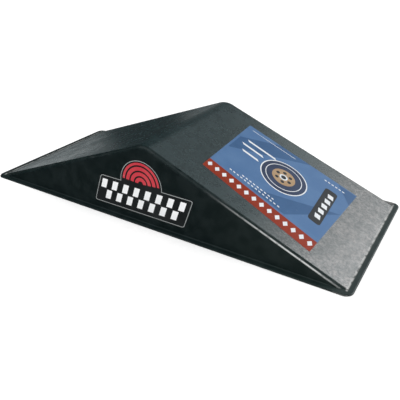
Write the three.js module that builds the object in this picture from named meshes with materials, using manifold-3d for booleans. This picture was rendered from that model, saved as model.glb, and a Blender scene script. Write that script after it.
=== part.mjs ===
// A spine ramp: a small moulded skate ramp with two straight decks, back to back over a rounded spine.
// Lengths are millimetres. X runs along the ride, Y across it and Z up from the ground. The origin is on
// the ground, under the middle of the spine.

import * as THREE from "three";
import { mergeVertices } from "three/addons/utils/BufferGeometryUtils.js";
import Module from "manifold-3d";

const wasm = await Module();
wasm.setup();

// Overall size, over the rim and from the ground to the top of the spine
const rampLength = 1000;
const rampWidth = 436;
const rampHeight = 194;

// Moulded shell
const spineRadius = 55;
const wallThickness = 3;
const edgeRadius = 9;
const draftAngle = THREE.MathUtils.degToRad(2);
const rimWidth = 14;
const rimThickness = 3;
const rimCornerRadius = 19;
const rimEdgeRadius = 2;
const rimClearance = 1;

// Support panels under the decks. Each deck's three ribs stand at shares of the body's half length.
const panelThickness = 4;
const innerRibShare = 0.28;
const middleRibShare = 0.555;
const outerRibShare = 0.83;
const keelOverhang = 24;
const guideThickness = 3;
const guideDepth = 5;

// Rubber feet and the seats that carry them
const footHeight = 8;
const footRadius = 15;
const footTaper = 1;
const footChamfer = 1.5;
const footHoleRadius = 2.9;
const footRecessRadius = 5.5;
const footRecessDepth = 4;
const seatThickness = 4;
const seatMargin = 2;
const bossWall = 3.2;
const bossHeight = 16;
const bossWebThickness = 3;

// Foot screws
const screwRadius = 2;
const screwLength = 19;
const screwTipLength = 3;
const screwHeadRadius = 4.2;
const screwHeadHeight = 2.4;
const screwHeadCrown = 0.9;

// Printed vinyl: the label on the right deck and a die-cut decal on each side wall. The label's corners
// are shares of the deck's length, counted up from its foot, and of its half width. The decal's band and
// half disc are shares of the body's half length and of its height over the rim.
const vinylThickness = 0.5;
const labelCornerRadius = 3;
const labelCornerShares = [
  [0.198, -0.822],
  [0.172, 0.673],
  [0.832, 0.714],
  [0.8, -0.624],
];
const decalCornerRadius = 9;
const bandLeftShare = -0.31;
const bandRightShare = 0.285;
const bandBottomShare = 0.095;
const bandTopShare = 0.5;
const bandSlantShare = 0.05;
const discRadiusShare = 0.32;

// Fits and cutting
const fitGap = 0.3;
const overrun = 20;

// Facets of the round stretches
const spineSteps = 8;
const edgeSteps = 4;
const rimSteps = 3;
const cornerSteps = 3;
const footSteps = 20;
const bossSteps = 12;
const screwSteps = 10;
const vinylSteps = 6;

const plasticBlack = { color: 0x262b2c, roughness: 0.5, metalness: 0 };
const panelBlack = { color: 0x1d2021, roughness: 0.65, metalness: 0 };
const rubberBlack = { color: 0x151515, roughness: 0.85, metalness: 0 };
const zincSteel = { color: 0xb4b8bb, roughness: 0.35, metalness: 1 };
const labelBlue = { color: 0x5f83b8, roughness: 0.3, metalness: 0 };
const decalInk = { color: 0xdfe1e2, roughness: 0.35, metalness: 0 };

// Heights and half sizes that follow from the sizes above
const rimTop = rimClearance + rimThickness;
const bodyHalfLength = rampLength / 2 - rimWidth;
const bodyHalfWidth = rampWidth / 2 - rimWidth;
const spineCentreHeight = rampHeight - spineRadius;
const panelBottom = footHeight + fitGap;
const seatTop = panelBottom + seatThickness;
const bossBottom = seatTop + fitGap;

// The decks run from the rim up to where they touch the spine's circle.
const deckRise = spineCentreHeight - rimTop;
const deckSlope =
  Math.atan2(deckRise, bodyHalfLength) + Math.asin(spineRadius / Math.hypot(bodyHalfLength, deckRise));
const deckLength = Math.sqrt(bodyHalfLength ** 2 + deckRise ** 2 - spineRadius ** 2);

// Solids and meshes

function solidFrom(geometry) {
  const bare = geometry.clone();
  bare.deleteAttribute("normal");
  bare.deleteAttribute("uv");
  const merged = mergeVertices(bare);
  const vertProperties = merged.getAttribute("position").array;
  const triVerts = new Uint32Array(merged.index.array);
  return new wasm.Manifold(new wasm.Mesh({ numProp: 3, vertProperties, triVerts }));
}

function geometryFrom(solid) {
  const { vertProperties, triVerts } = solid.getMesh();
  const shared = new THREE.BufferGeometry();
  shared.setAttribute("position", new THREE.BufferAttribute(vertProperties, 3));
  shared.setIndex(new THREE.BufferAttribute(triVerts, 1));
  const faceted = shared.toNonIndexed();
  faceted.computeVertexNormals();
  return faceted;
}

function meshOf(name, geometry, finish) {
  const mesh = new THREE.Mesh(geometry, new THREE.MeshStandardMaterial(finish));
  mesh.name = name;
  return mesh;
}

// A block between two corners, each given as [x, y, z].
function block(low, high) {
  const size = high.map((value, axis) => value - low[axis]);
  const middle = high.map((value, axis) => (value + low[axis]) / 2);
  return solidFrom(new THREE.BoxGeometry(...size).translate(...middle));
}

// Everything above a level, wider and longer than the ramp.
function above(level) {
  const reachX = rampLength / 2 + overrun;
  const reachY = rampWidth / 2 + overrun;
  return block([-reachX, -reachY, level], [reachX, reachY, rampHeight + overrun]);
}

// A solid turned round an upright axis from [radius, height] pairs.
function turned(profile, steps) {
  const points = profile.map(([radius, height]) => new THREE.Vector2(radius, height));
  return new THREE.LatheGeometry(points, steps).rotateX(Math.PI / 2);
}

// An upright round post, also used to cut round holes.
function post(x, y, radius, bottom, top) {
  const cylinder = new THREE.CylinderGeometry(radius, radius, top - bottom, bossSteps);
  return solidFrom(cylinder.rotateX(Math.PI / 2).translate(x, y, (bottom + top) / 2));
}

// The outline of a rectangle with round corners, centred on the origin.
function roundedRectangle(length, width, radius) {
  const x = length / 2 - radius;
  const y = width / 2 - radius;
  const shape = new THREE.Shape();
  shape.absarc(x, y, radius, 0, Math.PI / 2);
  shape.absarc(-x, y, radius, Math.PI / 2, Math.PI);
  shape.absarc(-x, -y, radius, Math.PI, 1.5 * Math.PI);
  shape.absarc(x, -y, radius, 1.5 * Math.PI, 2 * Math.PI);
  return shape;
}

// Shell

// The side view of the ramp, moved inwards by inset: two decks that touch the spine's circle, carried on
// below the ground so that their ends can be cut level.
function sideOutline(inset) {
  const radius = spineRadius - inset;
  const touchX = radius * Math.sin(deckSlope);
  const touchZ = spineCentreHeight + radius * Math.cos(deckSlope);
  const run = (touchZ + overrun) / Math.sin(deckSlope);
  const endX = touchX + run * Math.cos(deckSlope);
  const footX = endX - overrun * Math.sin(deckSlope);
  const footZ = -overrun - overrun * Math.cos(deckSlope);
  const shape = new THREE.Shape();
  shape.moveTo(-footX, footZ);
  shape.lineTo(footX, footZ);
  shape.lineTo(endX, -overrun);
  shape.absarc(0, spineCentreHeight, radius, Math.PI / 2 - deckSlope, Math.PI / 2 + deckSlope);
  shape.lineTo(-endX, -overrun);
  return shape;
}

// Leans both side walls inwards as they rise, by moving each point in proportion to its distance from
// the middle. Their distance at the rim stays.
function leanWalls(geometry, halfWidth) {
  const position = geometry.getAttribute("position");
  for (let i = 0; i < position.count; i += 1) {
    const lean = Math.tan(draftAngle) * (position.getZ(i) - rimTop);
    position.setY(i, position.getY(i) * (1 - lean / halfWidth));
  }
  return geometry;
}

// The ramp as a full wedge, moved inwards by inset all over. Its round edges keep their centres, so that
// the skin between two wedges is as thick there as on the flats.
function wedge(inset) {
  const halfWidth = bodyHalfWidth - inset;
  const fillet = Math.max(edgeRadius - inset, 0);
  const geometry = new THREE.ExtrudeGeometry(sideOutline(inset), {
    depth: 2 * (halfWidth - fillet),
    bevelEnabled: fillet > 0,
    bevelThickness: fillet,
    bevelSize: fillet,
    bevelOffset: -fillet,
    bevelSegments: edgeSteps,
    curveSegments: spineSteps,
  });
  geometry.rotateX(Math.PI / 2).translate(0, halfWidth - fillet, 0);
  return solidFrom(leanWalls(geometry, halfWidth));
}

// The flat rim all round the foot of the shell, its top edge rounded.
function rimPlate() {
  const geometry = new THREE.ExtrudeGeometry(roundedRectangle(rampLength, rampWidth, rimCornerRadius), {
    depth: overrun,
    bevelThickness: rimEdgeRadius,
    bevelSize: rimEdgeRadius,
    bevelOffset: -rimEdgeRadius,
    bevelSegments: rimSteps,
    curveSegments: cornerSteps,
  });
  return solidFrom(geometry.translate(0, 0, rimTop - rimEdgeRadius - overrun));
}

// The height over a place on X of the surface that lies inset below the top of the decks and the spine.
function ceilingAt(x, inset) {
  const radius = spineRadius - inset;
  const touchX = radius * Math.sin(deckSlope);
  if (Math.abs(x) < touchX) return spineCentreHeight + Math.sqrt(radius ** 2 - x ** 2);
  const touchZ = spineCentreHeight + radius * Math.cos(deckSlope);
  return touchZ - (Math.abs(x) - touchX) * Math.tan(deckSlope);
}

// Where the panels stand. A footed panel has a seat and a rubber foot at each end. The seats are on the
// side of the panel that faces the spine.
const panels = [{ name: "spine_bulkhead", x: 0, footed: true, seatSide: 1 }];
for (const [side, sign] of [["left", -1], ["right", 1]]) {
  const seatSide = -sign;
  const reach = sign * bodyHalfLength;
  panels.push({ name: `${side}_inner_rib`, x: innerRibShare * reach, footed: false, seatSide });
  panels.push({ name: `${side}_middle_rib`, x: middleRibShare * reach, footed: true, seatSide });
  panels.push({ name: `${side}_outer_rib`, x: outerRibShare * reach, footed: true, seatSide });
}

// The feet stand beside the side walls, as near to them as the seats allow.
const seatLength = 2 * (footRadius + seatMargin);
const footY = bodyHalfWidth - wallThickness - seatMargin - footRadius - fitGap;
const feet = [];
for (const panel of panels.filter(({ footed }) => footed)) {
  const x = panel.x + panel.seatSide * (panelThickness + seatLength) / 2;
  const place = panel.name.replace("_bulkhead", "").replace("_rib", "");
  feet.push({ place: `${place}_near`, x, y: -footY });
  feet.push({ place: `${place}_far`, x, y: footY });
}

// A post with a web to the side wall, which takes one foot screw.
function boss(foot) {
  const outward = Math.sign(foot.y);
  const top = bossBottom + bossHeight;
  const wallY = outward * bodyHalfWidth;
  const halfWeb = bossWebThickness / 2;
  const web = block(
    [foot.x - halfWeb, Math.min(foot.y, wallY), bossBottom],
    [foot.x + halfWeb, Math.max(foot.y, wallY), top],
  );
  return post(foot.x, foot.y, screwRadius + fitGap + bossWall, bossBottom, top).add(web);
}

function pilotHole(foot) {
  const top = footRecessDepth + screwLength + fitGap;
  return post(foot.x, foot.y, screwRadius + fitGap, bossBottom - overrun, top);
}

// Two moulded guides on each side wall hold a panel's end upright between them.
function panelGuides(panel) {
  const nearFace = panelThickness / 2 + fitGap;
  const inner = bodyHalfWidth - wallThickness - guideDepth;
  const guides = [];
  for (const side of [-1, 1]) {
    const faces = [panel.x + side * nearFace, panel.x + side * (nearFace + guideThickness)];
    for (const wall of [-1, 1]) {
      const reach = [wall * inner, wall * bodyHalfWidth];
      guides.push(
        block(
          [Math.min(...faces), Math.min(...reach), bossBottom],
          [Math.max(...faces), Math.max(...reach), rampHeight],
        ),
      );
    }
  }
  return guides;
}

// Decks, side walls and rim in one moulding, open below, with the guides and screw bosses inside it.
function rampShell() {
  const body = wedge(0);
  const ground = above(rimClearance);
  const guides = panels.flatMap(panelGuides);
  const fittings = [...guides, ...feet.map(boss)].reduce((all, one) => all.add(one));
  const middleOfWall = wedge(wallThickness / 2);
  let shell = body.add(rimPlate()).intersect(ground).subtract(wedge(wallThickness));
  shell = shell.add(fittings.intersect(middleOfWall));
  feet.forEach((foot) => {
    shell = shell.subtract(pilotHole(foot));
  });
  return meshOf("ramp_shell", geometryFrom(shell), plasticBlack);
}

// Support panels

const panelSpace = wedge(wallThickness + fitGap).intersect(above(panelBottom));
const slotHalfWidth = panelThickness / 2 + fitGap;

// Keel and cross panels lock half way up: one is open above its slot, the other below it.
function lapHeight(x) {
  return (panelBottom + ceilingAt(x, wallThickness + fitGap)) / 2;
}

// A cross panel follows the shell's inside from wall to wall. The footed ones are pushed up over the
// keel last, so their slot is open above, and the inner ones hang on it with a slot that is open below.
function crossPanel(panel) {
  const halfThickness = panelThickness / 2;
  const [back, front] = [panel.x - halfThickness, panel.x + halfThickness];
  let solid = block([back, -bodyHalfWidth, 0], [front, bodyHalfWidth, rampHeight]);
  if (panel.footed) {
    const edge = panel.x + panel.seatSide * (halfThickness + seatLength);
    const [low, high] = [Math.min(back, edge), Math.max(front, edge)];
    for (const y of [-1, 1]) {
      const reach = [y * (footY - footRadius - seatMargin), y * bodyHalfWidth];
      solid = solid.add(
        block([low, Math.min(...reach), 0], [high, Math.max(...reach), seatTop]),
      );
    }
  }
  solid = solid.intersect(panelSpace);
  const lap = lapHeight(panel.x);
  const halfGap = fitGap / 2;
  const [slotLow, slotHigh] = panel.footed ? [lap - halfGap, rampHeight] : [0, lap + halfGap];
  solid = solid.subtract(
    block([back - overrun, -slotHalfWidth, slotLow], [front + overrun, slotHalfWidth, slotHigh]),
  );
  for (const foot of panel.footed ? feet : []) {
    solid = solid.subtract(post(foot.x, foot.y, footHoleRadius, panelBottom - overrun, seatTop + overrun));
  }
  return meshOf(panel.name, geometryFrom(solid), panelBlack);
}

// The keel runs along the middle under both decks and ties the cross panels together.
function centreKeel() {
  const reach = outerRibShare * bodyHalfLength + keelOverhang;
  const halfThickness = panelThickness / 2;
  let solid = block([-reach, -halfThickness, 0], [reach, halfThickness, rampHeight]).intersect(panelSpace);
  const halfGap = fitGap / 2;
  for (const panel of panels) {
    const lap = lapHeight(panel.x);
    const [low, high] = panel.footed ? [0, lap + halfGap] : [lap - halfGap, rampHeight];
    solid = solid.subtract(
      block([panel.x - slotHalfWidth, -overrun, low], [panel.x + slotHalfWidth, overrun, high]),
    );
  }
  return meshOf("centre_keel", geometryFrom(solid), panelBlack);
}

// Feet and screws

function rubberFoot(foot) {
  const profile = [
    [footHoleRadius, footRecessDepth],
    [footRecessRadius, footRecessDepth],
    [footRecessRadius, 0],
    [footRadius - footTaper - footChamfer, 0],
    [footRadius - footTaper, footChamfer],
    [footRadius, footHeight],
    [footHoleRadius, footHeight],
    [footHoleRadius, footRecessDepth],
  ];
  const mesh = meshOf(`${foot.place}_foot`, turned(profile, footSteps), rubberBlack);
  mesh.position.set(foot.x, foot.y, 0);
  return mesh;
}

// A pan-head screw, head down in the foot's recess and point up in the boss.
function footScrew(foot) {
  const seat = footRecessDepth - fitGap;
  const profile = [
    [0, seat - screwHeadHeight],
    [screwHeadRadius - screwHeadCrown, seat - screwHeadHeight],
    [screwHeadRadius, seat - screwHeadHeight + screwHeadCrown],
    [screwHeadRadius, seat],
    [screwRadius, seat],
    [screwRadius, seat + screwLength - screwTipLength],
    [0, seat + screwLength],
  ];
  const mesh = meshOf(`${foot.place}_foot_screw`, turned(profile, screwSteps), zincSteel);
  mesh.position.set(foot.x, foot.y, 0);
  return mesh;
}

// Printed vinyl

// Rounds one corner of an outline: a straight line that stops cut short of the corner, then a curve that
// ends as far behind it.
function roundCorner(shape, before, corner, after, cut) {
  const towards = (end) => corner.clone().lerp(end, cut / corner.distanceTo(end));
  const start = towards(before);
  const finish = towards(after);
  shape.lineTo(start.x, start.y);
  shape.quadraticCurveTo(corner.x, corner.y, finish.x, finish.y);
}

function vinylSheet(shape) {
  const sheet = { depth: vinylThickness, bevelEnabled: false, curveSegments: vinylSteps };
  return new THREE.ExtrudeGeometry(shape, sheet).translate(0, 0, fitGap);
}

// The label lies on the right deck, a little askew and out of square, as it was cut and stuck by hand.
function deckLabel() {
  const corners = labelCornerShares.map(
    ([up, across]) => new THREE.Vector2(-up * deckLength, across * bodyHalfWidth),
  );
  corners.reverse();
  const shape = new THREE.Shape();
  shape.moveTo((corners[0].x + corners[3].x) / 2, (corners[0].y + corners[3].y) / 2);
  corners.forEach((corner, i) => {
    roundCorner(shape, corners[(i + 3) % 4], corner, corners[(i + 1) % 4], labelCornerRadius);
  });
  const deck = new THREE.Group();
  deck.position.set(bodyHalfLength, 0, rimTop);
  deck.rotation.y = deckSlope;
  deck.add(meshOf("deck_label", vinylSheet(shape), labelBlue));
  return deck;
}

// The decal's outline: a slanted band with a half disc on the middle of its top edge.
function decalOutline() {
  const height = rampHeight - rimTop;
  const low = bandBottomShare * height;
  const high = bandTopShare * height;
  const west = bandLeftShare * bodyHalfLength;
  const east = bandRightShare * bodyHalfLength;
  const slant = bandSlantShare * bodyHalfLength;
  const middle = (west + east) / 2;
  const discRadius = discRadiusShare * height;
  const lowerLeft = new THREE.Vector2(west, low);
  const lowerRight = new THREE.Vector2(east - slant, low);
  const upperRight = new THREE.Vector2(east, high);
  const upperLeft = new THREE.Vector2(west + slant, high);
  const discFoot = new THREE.Vector2(middle, high);
  const shape = new THREE.Shape();
  shape.moveTo(middle, low);
  roundCorner(shape, lowerLeft, lowerRight, upperRight, decalCornerRadius);
  roundCorner(shape, lowerRight, upperRight, discFoot, decalCornerRadius);
  shape.absarc(middle, high, discRadius, 0, Math.PI);
  roundCorner(shape, discFoot, upperLeft, lowerLeft, decalCornerRadius);
  roundCorner(shape, upperLeft, lowerLeft, lowerRight, decalCornerRadius);
  return shape;
}

// A decal on its side wall. turn is 0 for the near wall and half a turn for the far one.
function sideDecal(name, turn) {
  const decal = meshOf(name, vinylSheet(decalOutline()), decalInk);
  decal.position.set(0, -bodyHalfWidth, rimTop);
  decal.rotation.x = Math.PI / 2 - draftAngle;
  const side = new THREE.Group();
  side.rotation.z = turn;
  side.add(decal);
  return side;
}

// The whole ramp

const ramp = new THREE.Group();
ramp.name = "spine_ramp";
ramp.add(rampShell());
panels.forEach((panel) => ramp.add(crossPanel(panel)));
ramp.add(centreKeel());
feet.forEach((foot) => ramp.add(rubberFoot(foot), footScrew(foot)));
ramp.add(deckLabel());
ramp.add(sideDecal("near_side_decal", 0));
ramp.add(sideDecal("far_side_decal", Math.PI));

export default ramp;
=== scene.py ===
# %% [markdown]
# # Dressing a spine ramp
# A spine ramp is two short ramps set back to back, with a rounded spine where they meet. This one is a
# single black plastic moulding about a metre long, with a thin flat rim all round its foot, a printed
# label on the right deck and a die-cut decal on each side. Under it, where nobody looks, plastic panels
# stand on rubber feet and carry the decks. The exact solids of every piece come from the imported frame,
# so this lesson never decides how big anything is. It makes the fine surfaces, the finishes and the
# light around them.

# %% Load the frame
import math

import bmesh
import bpy
import numpy as np
from mathutils import Matrix, Vector


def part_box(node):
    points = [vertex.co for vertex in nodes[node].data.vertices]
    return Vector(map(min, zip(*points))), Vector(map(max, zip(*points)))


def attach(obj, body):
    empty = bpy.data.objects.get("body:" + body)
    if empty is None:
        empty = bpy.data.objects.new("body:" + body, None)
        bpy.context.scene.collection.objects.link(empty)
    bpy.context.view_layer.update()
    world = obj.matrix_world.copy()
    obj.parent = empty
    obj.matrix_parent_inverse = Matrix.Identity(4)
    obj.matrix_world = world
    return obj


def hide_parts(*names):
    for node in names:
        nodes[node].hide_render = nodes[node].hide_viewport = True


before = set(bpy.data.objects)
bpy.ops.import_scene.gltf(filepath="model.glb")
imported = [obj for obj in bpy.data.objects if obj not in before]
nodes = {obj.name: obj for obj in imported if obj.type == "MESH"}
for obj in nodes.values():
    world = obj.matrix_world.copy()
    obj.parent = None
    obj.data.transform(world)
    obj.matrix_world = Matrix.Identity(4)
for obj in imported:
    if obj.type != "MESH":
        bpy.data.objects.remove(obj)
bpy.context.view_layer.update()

print("pieces in the frame:", len(nodes))

# %% [markdown]
# ## Sizes
# A moulded ramp has a few driving sizes, and the rest follows. The overall sizes are read from the
# frame. The wall, the rounded edges and the lean of the sides are the mould's own sizes, so they are
# named here once, in metres. Two numbers are worked out and not typed: how steep the decks are, and
# where each deck stops being flat and becomes the spine. A straight line from the rim that just
# touches a circle of the spine's radius gives both.

# %% Sizes of the moulding
MM = 0.001
shell_low, shell_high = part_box("ramp_shell")
HALF_LENGTH = shell_high.x
HALF_WIDTH = shell_high.y
HEIGHT = shell_high.z
UNDERSIDE = shell_low.z

RIM_WIDTH = 14 * MM
RIM_THICKNESS = 3 * MM
RIM_CORNER_RADIUS = 19 * MM
RIM_EDGE_RADIUS = 2 * MM
SPINE_RADIUS = 55 * MM
WALL_THICKNESS = 3 * MM
EDGE_RADIUS = 9 * MM
DRAFT = math.radians(2)

RIM_TOP = UNDERSIDE + RIM_THICKNESS
BODY_HALF_LENGTH = HALF_LENGTH - RIM_WIDTH
BODY_HALF_WIDTH = HALF_WIDTH - RIM_WIDTH
SPINE_CENTRE = HEIGHT - SPINE_RADIUS

deck_rise = SPINE_CENTRE - RIM_TOP
deck_reach = math.hypot(BODY_HALF_LENGTH, deck_rise)
SLOPE = math.atan2(deck_rise, BODY_HALF_LENGTH) + math.asin(SPINE_RADIUS / deck_reach)
print(f"deck slope {math.degrees(SLOPE):.2f} degrees, body {2 * BODY_HALF_LENGTH:.3f} m long")


def ceiling(x, inset=0.0):
    """Height over x of the surface that lies inset below the decks and the spine: a circle round the
    spine's centre where x is inside the touching points, and a straight line falling at the deck's
    slope outside them."""
    radius = SPINE_RADIUS - inset
    touch_x = radius * math.sin(SLOPE)
    touch_z = SPINE_CENTRE + radius * math.cos(SLOPE)
    away = np.abs(x)
    on_circle = SPINE_CENTRE + np.sqrt(np.maximum(radius**2 - away**2, 0))
    on_deck = touch_z - (away - touch_x) * math.tan(SLOPE)
    return np.where(away < touch_x, on_circle, on_deck)


def lean(y, z):
    """Where a side wall's point moves to as the wall leans in: y shrinks in proportion to its height
    over the rim, so that the two walls stay mirror images."""
    return y * (1 - math.tan(DRAFT) * (z - RIM_TOP) / BODY_HALF_WIDTH)


# %% [markdown]
# ## Tools for making surfaces
# Every new surface here is a grid: a shape worked out as a function of two numbers, such as how far
# along the ramp and how far across it. Working on whole arrays keeps the formulas short and the mesh
# even, and the edges of two grids can share their points, which is how a closed skin is made without
# any joining afterwards.

# %% Grids, skins and pieces


def grid_quads(numbers):
    """Four-cornered faces between neighbouring entries of a table of point numbers."""
    corners = [numbers[:-1, :-1], numbers[:-1, 1:], numbers[1:, 1:], numbers[1:, :-1]]
    return np.stack(corners, axis=-1).reshape(-1, 4)


def closed_rows(numbers):
    """A table of point numbers whose first column is repeated at the end, so its rows close."""
    return np.concatenate([numbers, numbers[:, :1]], axis=1)


def tube(rows):
    """A closed tube through rows of four points each, with both ends capped."""
    numbers = np.arange(rows.shape[0] * 4).reshape(-1, 4)
    caps = [numbers[:1], numbers[-1:, ::-1]]
    return rows.reshape(-1, 3), np.concatenate([grid_quads(closed_rows(numbers)), *caps])


def clean_up(work, mesh, smooth_angle):
    """Writes an edited mesh back, shaded smooth but for edges where two faces meet at more than
    smooth_angle degrees."""
    work.to_mesh(mesh)
    work.free()
    mesh.polygons.foreach_set("use_smooth", np.ones(len(mesh.polygons), bool))
    mesh.set_sharp_from_angle(angle=math.radians(smooth_angle))


def make_mesh(name, points, faces, smooth_angle=35):
    """A mesh with its doubled points merged and its faces turned outwards."""
    mesh = bpy.data.meshes.new(name)
    mesh.from_pydata(points.tolist(), [], faces.tolist())
    work = bmesh.new()
    work.from_mesh(mesh)
    bmesh.ops.remove_doubles(work, verts=work.verts, dist=1e-6)
    bmesh.ops.dissolve_degenerate(work, edges=work.edges, dist=1e-7)
    bmesh.ops.recalc_face_normals(work, faces=work.faces)
    clean_up(work, mesh, smooth_angle)
    return mesh


def placed(name, data):
    """An object in the scene that shows a mesh, a lamp or a camera."""
    item = bpy.data.objects.new(name, data)
    bpy.context.scene.collection.objects.link(item)
    return item


def add_piece(mesh, material, replaces=()):
    """An object at the origin that rides on the ramp, takes its finish from a material slot and stands
    for the CAD nodes named in replaces. It has its mesh's name."""
    piece = placed(mesh.name, mesh)
    piece.data.materials.append(material)
    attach(piece, "root")
    if replaces:
        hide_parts(*replaces)
    return piece


def joined(parts):
    """One set of points and faces from several (points, faces) pairs: the numbers in each part's faces
    grow by how many points came before it."""
    counts = np.cumsum([0] + [len(points) for points, _ in parts])
    points = np.concatenate([points for points, _ in parts])
    return points, np.concatenate([faces + start for (_, faces), start in zip(parts, counts)])


def turned(profile, steps):
    """A profile of (radius, height) points carried round an upright axis. The first and last points
    lie on the axis, or the profile closes on itself."""
    profile = np.asarray(profile, float)
    angle = np.linspace(0, 2 * np.pi, steps, endpoint=False)
    radius = profile[:, :1]
    height = np.repeat(profile[:, 1:], steps, axis=1)
    points = np.stack([radius * np.cos(angle), radius * np.sin(angle), height], axis=-1)
    numbers = np.arange(height.size).reshape(height.shape)
    return points.reshape(-1, 3), grid_quads(closed_rows(numbers))


def arc(centre, radius, start, stop, count):
    """count points on a circle from the angle start to stop, in degrees."""
    angle = np.radians(np.linspace(start, stop, count))
    return np.stack([centre[0] + radius * np.cos(angle), centre[1] + radius * np.sin(angle)], axis=-1)


# %% [markdown]
# ## The camera
# The picture was taken from a little above and to the right of the ramp, close enough that the near
# corner looks much bigger than the far one. A camera is a place, three angles and a lens. These were
# found by moving a model camera until the ramp's outline fell on the outline in the photograph.

# %% Camera
CAMERA_PLACE = Vector((0.6308, -1.0035, 0.6100))
CAMERA_YAW = -0.5373
CAMERA_PITCH = -0.4947
CAMERA_ROLL = 0.0141
CAMERA_LENS = 44.64


def aim_camera():
    """Looks along (cos pitch sin yaw, cos pitch cos yaw, sin pitch), then rolls about that line."""
    flat = math.cos(CAMERA_PITCH)
    forward = Vector((flat * math.sin(CAMERA_YAW), flat * math.cos(CAMERA_YAW), math.sin(CAMERA_PITCH)))
    level = Vector((math.cos(CAMERA_YAW), -math.sin(CAMERA_YAW), 0))
    up = level.cross(forward)
    right = math.cos(CAMERA_ROLL) * level + math.sin(CAMERA_ROLL) * up
    top = math.cos(CAMERA_ROLL) * up - math.sin(CAMERA_ROLL) * level
    turn = Matrix((right, top, -forward)).transposed().to_4x4()
    data = bpy.data.cameras.new("studio_camera")
    data.lens = CAMERA_LENS
    data.clip_end = 100
    camera = placed("studio_camera", data)
    camera.matrix_world = Matrix.Translation(CAMERA_PLACE) @ turn
    bpy.context.scene.camera = camera
    return forward


print("camera looks along", [round(v, 3) for v in aim_camera()])

# %% [markdown]
# ## Tools for finishes
# A finish is a small tree of nodes. Most helpers add a node and return the socket that the next one
# reads, so a finish reads like a sentence. All patterns use Object coordinates, which are metres here,
# so a noise of scale 1000 has grains about a millimetre wide. The studio's world is such a tree too, so
# what both need stands in a class of its own.

# %% Node helpers


class Nodes:
    """The node tree of a material or a world, emptied, and short ways to add to it."""

    def __init__(self, owner):
        """Takes a material or a world and empties its tree."""
        owner.use_nodes = True
        self.tree = owner.node_tree
        self.tree.nodes.clear()

    def feed(self, socket, value):
        """Links a socket to the value where that is a socket too, and sets it otherwise."""
        if isinstance(value, bpy.types.NodeSocket):
            self.tree.links.new(value, socket)
        else:
            socket.default_value = value

    def add(self, kind, inputs=None, **settings):
        """A node with its settings made and its inputs fed."""
        node = self.tree.nodes.new(kind)
        for key, value in settings.items():
            setattr(node, key, value)
        for key, value in (inputs or {}).items():
            self.feed(node.inputs[key], value)
        return node

    def spread(self, value, low, high, to_low=0.0, to_high=1.0):
        """Carries low..high to to_low..to_high along a smooth step, and holds beyond them."""
        inputs = {"Value": value, 1: low, 2: high, 3: to_low, 4: to_high}
        return self.add("ShaderNodeMapRange", inputs, interpolation_type="SMOOTHSTEP").outputs[0]

    def added(self, first, second, clamp=False):
        """The sum of two values, kept between 0 and 1 if clamp is set."""
        return self.add("ShaderNodeMath", {0: first, 1: second}, operation="ADD", use_clamp=clamp).outputs[0]

    def times(self, first, *others):
        """The product of all the values."""
        for other in others:
            first = self.add("ShaderNodeMath", {0: first, 1: other}, operation="MULTIPLY").outputs[0]
        return first


class Finish(Nodes):
    """A material with a Principled shader, and the patterns that feed it."""

    def __init__(self, name, roughness=0.5, metallic=0.0, specular=0.5):
        """Makes the material, its shader and the Object coordinates that its patterns use."""
        self.material = bpy.data.materials.new(name)
        super().__init__(self.material)
        values = {"Roughness": roughness, "Metallic": metallic, "Specular IOR Level": specular}
        self.shader = self.add("ShaderNodeBsdfPrincipled", values)
        self.add("ShaderNodeOutputMaterial", {"Surface": self.shader.outputs["BSDF"]})
        self.place = self.add("ShaderNodeTexCoord").outputs["Object"]

    def set(self, socket, value):
        """Feeds a socket of the shader."""
        self.feed(self.shader.inputs[socket], value)

    def stretched(self, scale, turn=0.0):
        """Object coordinates scaled differently along each axis, to draw a pattern out into streaks."""
        inputs = {"Vector": self.place, "Scale": scale, "Rotation": (0, 0, turn)}
        return self.add("ShaderNodeMapping", inputs).outputs["Vector"]

    def noise(self, scale, detail=3.0, roughness=0.55, distortion=0.0, place=None):
        """Soft clouds, mostly between 0.3 and 0.7. More detail adds finer clouds, roughness makes those
        stronger, and distortion stirs all of them into swirls."""
        inputs = {"Vector": place or self.place, "Scale": scale, "Detail": detail}
        inputs.update({"Roughness": roughness, "Distortion": distortion})
        return self.add("ShaderNodeTexNoise", inputs).outputs["Fac"]

    def cells(self, scale):
        """The distance to the nearest of many scattered points: 0 on a point, growing away from it."""
        inputs = {"Vector": self.place, "Scale": scale}
        return self.add("ShaderNodeTexVoronoi", inputs).outputs["Distance"]

    def axes(self):
        """The place along X, Y and Z, in metres."""
        return self.add("ShaderNodeSeparateXYZ", {"Vector": self.place}).outputs

    def attribute(self, name):
        """A mask that is stored on the mesh's points."""
        return self.add("ShaderNodeAttribute", attribute_name=name).outputs["Fac"]

    def blend(self, share, first, second):
        """The first colour where share is 0 and the second where it is 1."""
        inputs = {0: share}
        for index, colour in ((6, first), (7, second)):
            inputs[index] = (*colour, 1) if isinstance(colour, tuple) else colour
        return self.add("ShaderNodeMix", inputs, data_type="RGBA").outputs[2]

    def bump(self, height, distance, strength=1.0, under=None):
        """Raises the surface by height times distance, in metres, over another bump if one is given."""
        inputs = {"Height": height, "Distance": distance, "Strength": strength}
        if under:
            inputs["Normal"] = under
        return self.add("ShaderNodeBump", inputs).outputs["Normal"]


# %% [markdown]
# ## Moulded black plastic
# The ramp is made from one grade of black plastic, but its faces look different. The decks are grained
# for grip, so they scatter light and pick up dust and pale scuffs where boards run; the pale grey on
# their lower ends is partly that dust and partly a painted reflection of the softbox. The side walls stay
# darker, with a faint mottling from the mould. Round the edges the skin is rubbed smooth. A pale line
# along the right deck's edges, and one in the creases where the decks meet the rim, are painted
# highlights. The mesh carries five masks, so that the finish can tell these places apart without
# looking at the light, and every layer of wear or painted light is one share and one colour.

# %% Plastic for the shell
MASKS = ("deck", "edge", "run", "crease", "highlight_line")


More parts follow.
